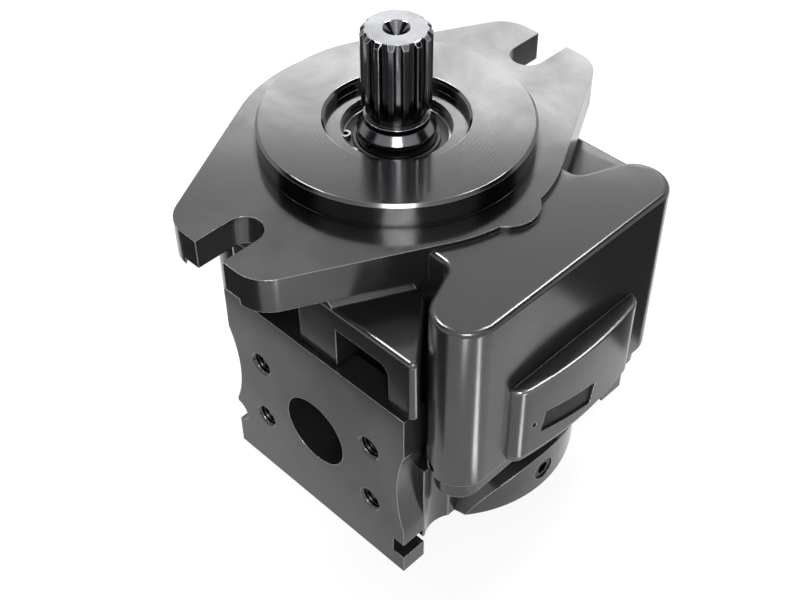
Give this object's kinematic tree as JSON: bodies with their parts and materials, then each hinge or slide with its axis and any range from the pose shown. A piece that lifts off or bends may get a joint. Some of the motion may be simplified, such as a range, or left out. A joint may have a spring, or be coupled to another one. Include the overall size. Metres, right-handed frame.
{
  "type": "hydraulic piston pump",
  "caption": "Variable axial piston pump with a cast body, an oval two-slot mounting flange, a splined drive shaft and a port on each side.",
  "frame": {"origin": "where the shaft axis meets the face of the mounting flange, at the foot of the mounting pilot", "axes": "+Z out along the drive shaft, X along the line of the two mounting slots with the inlet port on the -X side, the bulge of the housing on the -Y side"},
  "size_m": [0.176, 0.1586, 0.1836],
  "materials": {
    "cast_iron": "dark smooth casting with a thin gloss coat, machined faces left bright",
    "gasket": "matt fibre gasket",
    "black_steel": "black oxide steel",
    "ground_steel": "hardened and ground steel",
    "shaft_steel": "turned and hardened steel",
    "spring_steel": "oiled spring wire",
    "bronze": "machined bearing bronze",
    "seal_rubber": "matt nitrile rubber"
  },
  "bodies": {
    "case": {"housing": "cast_iron", "end_cover": "cast_iron", "cover_gasket": "gasket", "cover_screws": "black_steel", "cover_dowels": "ground_steel", "shaft_seal": "seal_rubber", "seal_circlip": "ground_steel", "front_bearing_cup": "ground_steel", "rear_bearing_cup": "ground_steel", "cradle_bearings": "bronze", "valve_plate": "bronze", "valve_plate_pin": "ground_steel", "control_sleeve": "ground_steel", "bias_spring": "spring_steel", "gallery_plug": "black_steel", "compensator_spring": "spring_steel", "compensator_plug": "black_steel", "case_drain_plug": "black_steel"},
    "rotor": {"shaft": "shaft_steel", "front_bearing_cone": "ground_steel", "rear_bearing_cone": "ground_steel", "bearing_spacer": "ground_steel", "cylinder_block": "shaft_steel", "spring_seat": "ground_steel", "block_spring": "spring_steel"},
    "piston_set": {"pistons": "ground_steel", "slippers": "bronze", "retainer_plate": "shaft_steel", "ball_guide": "bronze"},
    "front_cage": {"front_bearing_rollers": "ground_steel", "front_bearing_cage": "bronze"},
    "rear_cage": {"rear_bearing_rollers": "ground_steel", "rear_bearing_cage": "bronze"},
    "swash": {"swashplate": "shaft_steel"},
    "control": {"control_piston": "ground_steel"},
    "bias": {"bias_piston": "ground_steel"},
    "spool": {"compensator_spool": "ground_steel"}
  },
  "joints": [
    {"name": "shaft_spin", "type": "hinge", "parent": "case", "child": "rotor", "pos_m": [0, 0, 0], "axis": [0, 0, 1], "continuous": true},
    {"name": "front_cage_spin", "type": "hinge", "parent": "case", "child": "front_cage", "pos_m": [0, 0, -0.0145], "axis": [0, 0, 1], "continuous": true},
    {"name": "rear_cage_spin", "type": "hinge", "parent": "case", "child": "rear_cage", "pos_m": [0, 0, -0.108], "axis": [0, 0, 1], "continuous": true},
    {"name": "swash_tilt", "type": "hinge", "parent": "case", "child": "swash", "pos_m": [0, 0, -0.043], "axis": [1, 0, 0], "range_deg": [0, 16]},
    {"name": "piston_draw", "type": "slide", "parent": "rotor", "child": "piston_set", "axis": [0, 0, -1], "range_m": [0, 0.0118], "deforming": ["block_spring"]},
    {"name": "control_slide", "type": "slide", "parent": "case", "child": "control", "axis": [0, 0, -1], "range_m": [0, 0.0166]},
    {"name": "bias_slide", "type": "slide", "parent": "case", "child": "bias", "axis": [0, 0, -1], "range_m": [0, 0.0164], "deforming": ["bias_spring"]},
    {"name": "spool_slide", "type": "slide", "parent": "case", "child": "spool", "axis": [0, 0, -1], "range_m": [0, 0.003], "stiffness_N_per_m": 2000, "springref_m": -0.001, "deforming": ["compensator_spring"]}
  ],
  "couplings": [
    {"joint": "front_cage_spin", "follows": "shaft_spin", "ratio": 0.4385},
    {"joint": "rear_cage_spin", "follows": "shaft_spin", "ratio": 0.4312},
    {"joint": "piston_draw", "follows": "swash_tilt", "m_per_rad": 0.0419},
    {"joint": "control_slide", "follows": "swash_tilt", "m_per_rad": 0.059},
    {"joint": "bias_slide", "follows": "swash_tilt", "m_per_rad": 0.0582}
  ]
}
